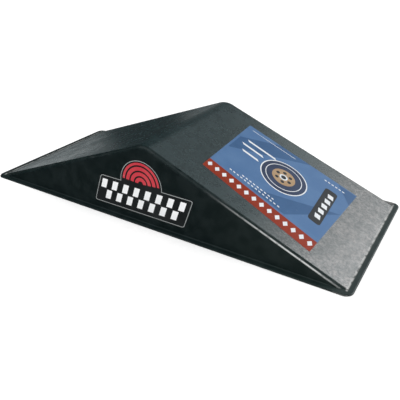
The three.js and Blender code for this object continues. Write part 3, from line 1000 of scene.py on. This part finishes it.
def add_decal(side, place):
    """One decal: its black base, grey edge line, white blocks and red half rings."""
    middle = np.array([DISC_X, (DECAL_LOW + DECAL_HIGH) / 2])
    edge = np.stack([decal_outline(inset) for inset in EDGE_LINE])
    layers = (
        ("base", DECAL_BLACK, sheet([filled(decal_outline(0), 4, middle)], place, *DECAL_BASE)),
        ("line", DECAL_GREY, sheet([edge], place, *DECAL_INK)),
        ("blocks", DECAL_WHITE, sheet(decal_blocks(), place, *DECAL_INK)),
        ("rings", DECAL_RED, strip_sheet(half_rings(), place, *DECAL_INK)),
    )
    for name, material, surface in layers:
        replaced = [f"{side}_side_decal"] if name == "base" else ()
        add_piece(make_mesh(f"{side}_decal_{name}", *surface), material, replaced)


add_decal("near", on_near_wall)
add_decal("far", on_far_wall)
print("decals:", round((DECAL_RIGHT - DECAL_LEFT) * 1000), "mm long")

# %% [markdown]
# ## Guides and screw bosses
# Inside the side walls the mould leaves two kinds of fitting. Pairs of upright guides hold the ends of
# the panels, and round bosses with a web to the wall take the foot screws. They are part of the same
# moulding, but thin ribs and round posts are simpler as bodies of their own that reach into the wall.
# The panels give the places: their boxes say where they stand.

# %% Where the panels stand
PANEL_THICKNESS = 4 * MM
FIT_GAP = 0.3 * MM
FOOT_RADIUS = 15 * MM
RIBS = [f"{side}_{place}_rib" for side in ("left", "right") for place in ("inner", "middle", "outer")]
PANELS = ["spine_bulkhead", *RIBS]
feet = sorted(name for name in nodes if name.endswith("_foot"))


def middle_of(node):
    """The middle of a node's box."""
    low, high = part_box(node)
    return np.array((low + high) / 2)


def panel_x(name):
    """A panel's middle along the ramp: its wall stands on the side of its box that has no seat, half a
    thickness in. The inner ribs have no seats, so theirs is the middle of the box."""
    low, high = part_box(name)
    if high.x - low.x < 2 * PANEL_THICKNESS:
        return (low.x + high.x) / 2
    seat_to_right = name == "spine_bulkhead" or name.startswith("left")
    return low.x + PANEL_THICKNESS / 2 if seat_to_right else high.x - PANEL_THICKNESS / 2


panel_places = np.array([panel_x(name) for name in PANELS])
foot_places = np.array([middle_of(name)[:2] for name in feet])
print("panels at", (panel_places * 1000).round(1), "mm; feet:", len(feet))

# %% Guides
GUIDE_THICKNESS = 3 * MM
GUIDE_DEPTH = 5 * MM
GUIDE_BOTTOM = 12.6 * MM
GUIDE_TAPER = 0.35 * MM
GUIDE_EDGE = 0.4 * MM
GUIDE_ROWS = 17


def guide(x, wall):
    """One guide as a tube of sections up the wall. Each section is a rectangle from inside the wall to
    the guide's inner face, narrower at that face. The last ones lean with the ceiling. Near it the outer
    side turns in, y = middle + sqrt(radius^2 - height^2), to stay inside the shell's rounded edge."""
    share = 1 - np.linspace(1, 0, GUIDE_ROWS)[:, None] ** 2
    sides = np.array([-1, 1, 1, -1]) * GUIDE_THICKNESS / 2
    taper = np.array([0, 0, -1, 1]) * GUIDE_TAPER
    xs = x + sides + taper + 0 * share
    top = ceiling(xs, WALL_THICKNESS / 2)
    z = GUIDE_BOTTOM + share * (top - GUIDE_BOTTOM)
    bend = EDGE_RADIUS - WALL_THICKNESS / 2
    height = np.clip(z - ceiling(xs, EDGE_RADIUS), 0, top - ceiling(xs, EDGE_RADIUS))
    turn = bend - np.sqrt(np.maximum(bend**2 - (height * math.cos(SLOPE)) ** 2, 0))
    outer = lean(BODY_HALF_WIDTH - WALL_THICKNESS / 2, z) - turn
    face = np.minimum(BODY_HALF_WIDTH - WALL_THICKNESS - GUIDE_DEPTH, outer - 0.2 * MM)
    y = wall * np.where([True, True, False, False], outer, face)
    return tube(np.stack([xs, y, z], axis=-1))


def add_guides():
    """Two guides to every end of every panel, as one piece."""
    offset = PANEL_THICKNESS / 2 + FIT_GAP + GUIDE_THICKNESS / 2
    places = (panel_places[:, None] + np.array([-offset, offset])).ravel()
    parts = [guide(x, wall) for x in places for wall in (-1, 1)]
    mesh = make_mesh("wall_guides", *joined(parts), smooth_angle=25)
    bevelled(add_piece(mesh, SHELL_PLASTIC, ["ramp_shell"]), GUIDE_EDGE)
    print("guides:", len(parts))


def bevelled(piece, width):
    """Rounds a piece's crisp edges with a Bevel modifier of three steps."""
    bevel = piece.modifiers.new("rounded_edges", "BEVEL")
    bevel.width = width
    bevel.segments = 3
    bevel.limit_method = "ANGLE"
    bevel.angle_limit = math.radians(40)
    bevel.harden_normals = True


add_guides()

# %% Screw bosses
SCREW_RADIUS = 2 * MM
SCREW_LENGTH = 19 * MM
FOOT_RECESS_DEPTH = 4 * MM
BOSS_WALL = 3.2 * MM
BOSS_BOTTOM = 12.6 * MM
BOSS_TOP = 28.6 * MM
BOSS_EDGE = 0.8 * MM
BOSS_TAPER = 0.3 * MM
HOLE_TIP = 0.7 * MM
WEB_THICKNESS = 3 * MM
WEB_DROP = 1.5 * MM
WEB_ROWS = 5


def boss(place):
    """A post turned from its profile: up the pilot hole, over the foot, up the outside and over a rounded
    top."""
    hole = SCREW_RADIUS + FIT_GAP
    radius = hole + BOSS_WALL
    hole_top = FOOT_RECESS_DEPTH + SCREW_LENGTH + FIT_GAP
    low_edge = arc((radius - BOSS_EDGE, BOSS_BOTTOM + BOSS_EDGE), BOSS_EDGE, -90, 0, 5)
    top_edge = arc((radius - BOSS_EDGE - BOSS_TAPER, BOSS_TOP - BOSS_EDGE), BOSS_EDGE, 0, 90, 5)
    inside = [(0, hole_top), (hole * 0.7, hole_top), (hole, hole_top - HOLE_TIP), (hole, BOSS_BOTTOM)]
    profile = np.concatenate([inside, low_edge, top_edge, [(0, BOSS_TOP)]])
    post, post_faces = turned(profile, 24)
    return post + (*place, 0), post_faces


def web(place):
    """The plate that ties a boss to the wall, as a tube of sections from one to the other. Its top slopes
    down to the post, and its end leans with the wall."""
    wall = math.copysign(1, place[1])
    share = np.linspace(0, 1, WEB_ROWS)[:, None]
    y = abs(place[1]) + share * (BODY_HALF_WIDTH - WALL_THICKNESS / 2 - abs(place[1]))
    low = BOSS_BOTTOM + 0 * share
    top = BOSS_TOP - WEB_DROP + share * WEB_DROP
    xs = place[0] + np.array([-1, 1, 1, -1]) * WEB_THICKNESS / 2 + 0 * y
    zs = np.concatenate([low, low, top, top], axis=1)
    ys = wall * np.minimum(y, lean(BODY_HALF_WIDTH - WALL_THICKNESS / 2, zs))
    return tube(np.stack([xs, ys, zs], axis=-1))


boss_parts = [part for place in foot_places for part in (boss(place), web(place))]
boss_mesh = make_mesh("screw_bosses", *joined(boss_parts))
add_piece(boss_mesh, SHELL_PLASTIC, ["ramp_shell"])
print("bosses:", len(foot_places))

# %% [markdown]
# ## Panels and keel
# The panels were cut to an exact shape in CAD, with their slots and screw holes, so they are not drawn
# again. A copy has its loose triangles merged and flat areas joined, and then its crisp edges are
# rounded, which is what makes a cut sheet catch the light. The finish is a duller black than the shell,
# with the fine long scratches of a part that is slid into place.

# %% Panels
PANEL_EDGE = 0.45 * MM


def panel_plastic():
    """A duller black in soft clouds, with long upright scratches, and dust near the ground where the
    clouds are pale."""
    finish = Finish("panel_plastic", specular=0.4)
    cloud = finish.noise(20, detail=4)
    grain = finish.noise(700, detail=2)
    scratches = finish.noise(24, detail=5, place=finish.stretched((2, 2, 26)))
    colour = finish.blend(finish.spread(cloud, 0.3, 0.7), (0.0120, 0.0125, 0.0130), (0.0230, 0.0240, 0.0250))
    colour = finish.blend(finish.spread(scratches, 0.62, 0.72, 0.0, 0.5), colour, (0.060, 0.062, 0.064))
    low_down = finish.spread(finish.axes()[2], 0.0, 0.05, 0.35, 0.0)
    dust = finish.times(low_down, finish.spread(cloud, 0.35, 0.6))
    finish.set("Base Color", finish.blend(dust, colour, (0.130, 0.120, 0.105)))
    finish.set("Roughness", finish.spread(cloud, 0.3, 0.7, 0.55, 0.72))
    finish.set("Normal", finish.bump(scratches, 0.0002, 0.3, under=finish.bump(grain, 0.00015, 0.5)))
    return finish.material


PANEL_PLASTIC = panel_plastic()


def edged_copy(node):
    """A copy of a CAD solid with its doubled points merged, its flat areas joined into single faces and
    its crisp edges rounded."""
    mesh = bpy.data.objects[node].data.copy()
    mesh.name = f"{node}_body"
    mesh.materials.clear()
    work = bmesh.new()
    work.from_mesh(mesh)
    bmesh.ops.remove_doubles(work, verts=work.verts, dist=2e-6)
    bmesh.ops.dissolve_limit(work, angle_limit=math.radians(1), verts=work.verts, edges=work.edges)
    clean_up(work, mesh, 30)
    bevelled(add_piece(mesh, PANEL_PLASTIC, [node]), PANEL_EDGE)


for panel in (*PANELS, "centre_keel"):
    edged_copy(panel)
print("panels:", len(PANELS), "and the keel")

# %% [markdown]
# ## Rubber feet
# Each foot is a turned rubber puck with a hole for its screw, a deep recess that keeps the screw's head
# off the floor, and three shallow grooves in the sole that let water out. A profile turned round the
# foot's axis gives the whole of it. Rubber is matt, and its sole is grey with floor dust.

# %% Feet
FOOT_HEIGHT = 8 * MM
FOOT_TAPER = 1 * MM
FOOT_CHAMFER = 1.5 * MM
FOOT_HOLE_RADIUS = 2.9 * MM
FOOT_RECESS_RADIUS = 5.5 * MM
GROOVE_DEPTH = 0.7 * MM
GROOVE_HALF_WIDTH = 0.5 * MM
GROOVE_RADII = np.array([7.6, 9.5, 11.4]) * MM
SOLE_LIP = 0.4 * MM
SOLE_INSET = 0.2 * MM
TOP_ROUND = 1 * MM


def rubber():
    """Matt black in soft clouds, with a fine grain, and grey dust on the lowest two millimetres."""
    finish = Finish("foot_rubber", specular=0.3)
    cloud = finish.noise(90, detail=4)
    colour = finish.blend(finish.spread(cloud, 0.3, 0.7), (0.0100, 0.0100, 0.0102), (0.0200, 0.0198, 0.0195))
    sole = finish.spread(finish.axes()[2], 0.0002, 0.0022, 0.75, 0.0)
    dust = finish.times(sole, finish.spread(cloud, 0.3, 0.6))
    finish.set("Base Color", finish.blend(dust, colour, (0.110, 0.102, 0.092)))
    finish.set("Roughness", finish.spread(cloud, 0.3, 0.7, 0.78, 0.92))
    finish.set("Normal", finish.bump(finish.noise(1500, detail=2), 0.0001, 0.6))
    return finish.material


def foot_profile():
    """The section of a foot from its recess down, out across the grooved sole, up its side and back over
    its top. Each groove is a half circle of points pressed up into the sole."""
    sole_radius = FOOT_RADIUS - FOOT_TAPER - FOOT_CHAMFER
    recess = arc((FOOT_RECESS_RADIUS + SOLE_LIP, SOLE_LIP), SOLE_LIP, 180, 270, 4)
    half_turn = np.linspace(0, np.pi, 7)
    across, up = GROOVE_HALF_WIDTH * np.cos(half_turn), GROOVE_DEPTH * np.sin(half_turn)
    grooves = [np.stack([radius - across, up], axis=-1) for radius in GROOVE_RADII]
    low = arc((sole_radius - SOLE_INSET, FOOT_CHAMFER), FOOT_CHAMFER, -90, -4, 6)
    top = arc((FOOT_RADIUS - TOP_ROUND, FOOT_HEIGHT - TOP_ROUND), TOP_ROUND, 0, 90, 5)
    start = [(FOOT_HOLE_RADIUS, FOOT_RECESS_DEPTH), (FOOT_RECESS_RADIUS, FOOT_RECESS_DEPTH)]
    end = [(FOOT_HOLE_RADIUS, FOOT_HEIGHT), (FOOT_HOLE_RADIUS, FOOT_RECESS_DEPTH)]
    return np.concatenate([start, recess, *grooves, low, top, end])


RUBBER = rubber()
foot_points, foot_faces = turned(foot_profile(), 48)
for name, place in zip(feet, foot_places):
    puck = make_mesh(f"{name}_puck", foot_points + (*place, 0), foot_faces)
    add_piece(puck, RUBBER, [name])
print("foot faces:", len(foot_faces))

# %% [markdown]
# ## Foot screws
# A pan-head screw with a cross recess holds each foot. Its head is a surface over an angle and a
# distance from the axis: a low dome pressed in by the cross. The shank's radius swings in and out once
# for every pitch that it rises, and the swing comes later as the angle grows, by one pitch in a turn.
# That single formula is a screw thread. Each screw was driven home by hand, so each cross points another
# way.

# %% Screws
SCREW_HEAD_RADIUS = 4.2 * MM
SCREW_HEAD_HEIGHT = 2.4 * MM
SCREW_TIP = 3 * MM
THREAD_PITCH = 1.3 * MM
THREAD_DEPTH = 0.35 * MM
CROSS_REACH = 2.3 * MM
CROSS_HALF_WIDTH = 0.5 * MM
CROSS_DEPTH = 1.3 * MM
HEAD_CROWN = 0.9 * MM
HEAD_ROUND = 0.4 * MM
HEAD_ROWS = 30
SHANK_ROWS = 76
SCREW_STEPS = 48
FIRST_SCREW_ANGLE = 0.5
NEXT_SCREW_ANGLE = 1.3


def zinc():
    """Bright zinc in two greys, with brown stains and fine rings from turning."""
    finish = Finish("zinc_steel", metallic=1.0)
    cloud = finish.noise(240, detail=4)
    turning = finish.noise(900, detail=2, place=finish.stretched((1, 1, 8)))
    colour = finish.blend(finish.spread(cloud, 0.3, 0.7), (0.50, 0.51, 0.53), (0.66, 0.67, 0.66))
    colour = finish.blend(finish.spread(cloud, 0.62, 0.72, 0.0, 0.6), colour, (0.30, 0.22, 0.15))
    finish.set("Base Color", colour)
    finish.set("Roughness", finish.spread(turning, 0.3, 0.7, 0.28, 0.46))
    finish.set("Normal", finish.bump(turning, 0.00003, 0.4))
    return finish.material


def screw():
    """A screw as one surface of rows from the middle of its head, out and over the head's rim, in to the
    shank and up the thread to the tip. Only the head's rows feel the cross, and only the shank's rows
    feel the thread."""
    seat = FOOT_RECESS_DEPTH - FIT_GAP
    face = seat - SCREW_HEAD_HEIGHT
    share = np.linspace(0, 1, HEAD_ROWS)
    head_radius = share * (SCREW_HEAD_RADIUS - 0.35 * MM)
    head_height = face + HEAD_CROWN * (head_radius / SCREW_HEAD_RADIUS) ** 4
    rim = arc((SCREW_HEAD_RADIUS - HEAD_ROUND, seat - HEAD_ROUND), HEAD_ROUND, 0, 90, 4)
    rise = np.linspace(seat, seat + SCREW_LENGTH, SHANK_ROWS)
    taper = np.clip((seat + SCREW_LENGTH - rise) / SCREW_TIP, 0, 1)
    radius = np.concatenate([head_radius, rim[:, 0], SCREW_RADIUS * taper])
    height = np.concatenate([head_height, rim[:, 1], rise])
    angle = np.linspace(0, 2 * np.pi, SCREW_STEPS, endpoint=False)
    radius = np.repeat(radius[:, None], SCREW_STEPS, axis=1)
    height = np.repeat(height[:, None], SCREW_STEPS, axis=1)
    shank = len(share) + len(rim)
    wave = np.abs(((height[shank:] / THREAD_PITCH - angle / (2 * np.pi)) % 1) * 2 - 1)
    radius[shank:] -= THREAD_DEPTH * wave * taper[:, None] * (rise > seat + 1 * MM)[:, None]
    across, along = radius * np.cos(angle), radius * np.sin(angle)
    arm = np.minimum(np.abs(across), np.abs(along))
    reach = np.maximum(np.abs(across), np.abs(along))
    cross = smooth_step(CROSS_HALF_WIDTH - arm, -0.12 * MM, 0.12 * MM)
    cross = cross * smooth_step(CROSS_REACH - reach, -0.15 * MM, 0.5 * MM)
    height[: len(share)] += (CROSS_DEPTH * cross)[: len(share)]
    points = np.stack([across, along, height], axis=-1)
    numbers = np.arange(radius.size).reshape(radius.shape)
    return points.reshape(-1, 3), grid_quads(closed_rows(numbers))


ZINC = zinc()
screw_points, screw_faces = screw()
for index, (name, place) in enumerate(zip(feet, foot_places)):
    turn = FIRST_SCREW_ANGLE + NEXT_SCREW_ANGLE * index
    cosine, sine = math.cos(turn), math.sin(turn)
    spun = screw_points @ np.array([(cosine, sine, 0), (-sine, cosine, 0), (0, 0, 1)])
    body = make_mesh(f"{name}_screw_body", spun + (*place, 0), screw_faces, smooth_angle=50)
    add_piece(body, ZINC, [f"{name}_screw"])
print("screw faces:", len(screw_faces))

# %% [markdown]
# ## Studio
# Black plastic shows its light more than its colour: what the eye reads as a grey deck is mostly a pale
# softbox mirrored in the grain. So the diffuse light and the mirrored light are set apart. A wide sun
# from above and a weaker one from the front give even daylight and a soft shadow, and never show in the
# gloss. The mirrored light is drawn on the world as round soft patches: a big one low behind the right
# deck, with one straight upright edge, and dimmer ones round about, so that no side is dead.

# %% Light and floor

# Each patch has its azimuth, elevation, inner and outer angle and strength. The last entry gives a
# straight edge: its azimuth, the side that stays lit and how soft it is.
SOFT_PATCHES = (
    (32, 36, 13, 26, 4.6, (14.5, 1, 2.0)),
    (5, 26, 4, 10, 1.5, None),
    (0, 52, 8, 22, 0.44, None),
    (-58, -26, 14, 26, 0.62, (-45.2, -1, 0.25)),
    (-27, -8, 8, 17, 0.3, (-36.5, 1, 1.5)),
    (-20, 12, 8, 22, 0.17, None),
    (-8, 45, 8, 25, 0.28, None),
    (-140, 50, 10, 45, 0.4, None),
    (100, 35, 10, 45, 0.5, None),
)
WORLD_DIM = 0.04
WORLD_PALE = 1.1
FLOOR_REACH = 30.0


def direction(azimuth, elevation):
    """The unit vector azimuth degrees from +Y towards +X and elevation degrees up."""
    a, e = math.radians(azimuth), math.radians(elevation)
    return Vector((math.sin(a) * math.cos(e), math.cos(a) * math.cos(e), math.sin(e)))


def studio_world():
    """A world whose strength, for mirrored rays, is a dim base plus soft round patches. A patch is full
    inside its inner angle and gone at its outer one, both measured by the cosine between the ray and the
    patch's middle. The camera sees plain pale grey, and diffuse rays see black, as the suns serve them."""
    world = bpy.data.worlds.new("studio")
    bpy.context.scene.world = world
    sky = Nodes(world)
    view = sky.add("ShaderNodeTexCoord").outputs["Generated"]

    def facing(azimuth, elevation):
        """The cosine between the ray and a direction."""
        inputs = {0: view, 1: direction(azimuth, elevation)}
        return sky.add("ShaderNodeVectorMath", inputs, operation="DOT_PRODUCT").outputs["Value"]

    total = WORLD_DIM
    for azimuth, elevation, inner, outer, strength, cut in SOFT_PATCHES:
        gone, full = math.cos(math.radians(outer)), math.cos(math.radians(inner))
        patch = sky.spread(facing(azimuth, elevation), gone, full, 0.0, strength)
        if cut:
            edge, side, softness = cut
            fade = math.sin(math.radians(softness))
            patch = sky.times(patch, sky.spread(facing(edge + 90 * side, 0), -fade, fade))
        total = sky.added(patch, total)
    rays = sky.add("ShaderNodeLightPath").outputs
    seen = sky.times(rays["Is Camera Ray"], WORLD_PALE)
    strength = sky.added(sky.times(total, rays["Is Glossy Ray"]), seen)
    background = sky.add("ShaderNodeBackground", {"Color": (0.93, 1.0, 1.02, 1), "Strength": strength})
    sky.add("ShaderNodeOutputWorld", {"Surface": background.outputs[0]})


def add_sun(name, towards, strength, spread):
    """A sun of a given spread in degrees, which lights evenly and never shows in the gloss."""
    data = bpy.data.lights.new(name, "SUN")
    data.energy = strength
    data.angle = math.radians(spread)
    lamp = placed(name, data)
    lamp.rotation_euler = Vector(towards).to_track_quat("Z", "Y").to_euler()
    lamp.visible_glossy = False


def add_floor():
    """A wide pale floor that glows a little, so that only the ramp's own shadow shows on it."""
    mesh = bpy.data.meshes.new("studio_floor")
    corners = np.array([(-1, -1, 0), (1, -1, 0), (1, 1, 0), (-1, 1, 0)]) * FLOOR_REACH
    mesh.from_pydata(corners.tolist(), [], [(0, 1, 2, 3)])
    floor = placed("studio_floor", mesh)
    finish = Finish("studio_floor", roughness=0.9, specular=0.0)
    finish.set("Base Color", (0.88, 0.88, 0.88, 1))
    finish.set("Emission Color", (1, 1, 1, 1))
    finish.set("Emission Strength", 0.2)
    floor.data.materials.append(finish.material)
    floor.visible_glossy = False


studio_world()
add_sun("daylight", (0.0, -0.1, 1), 3.2, 110)
add_sun("front_fill", (0.3, -1, 0.45), 0.8, 80)
add_floor()
bpy.context.scene.view_settings.view_transform = "Standard"
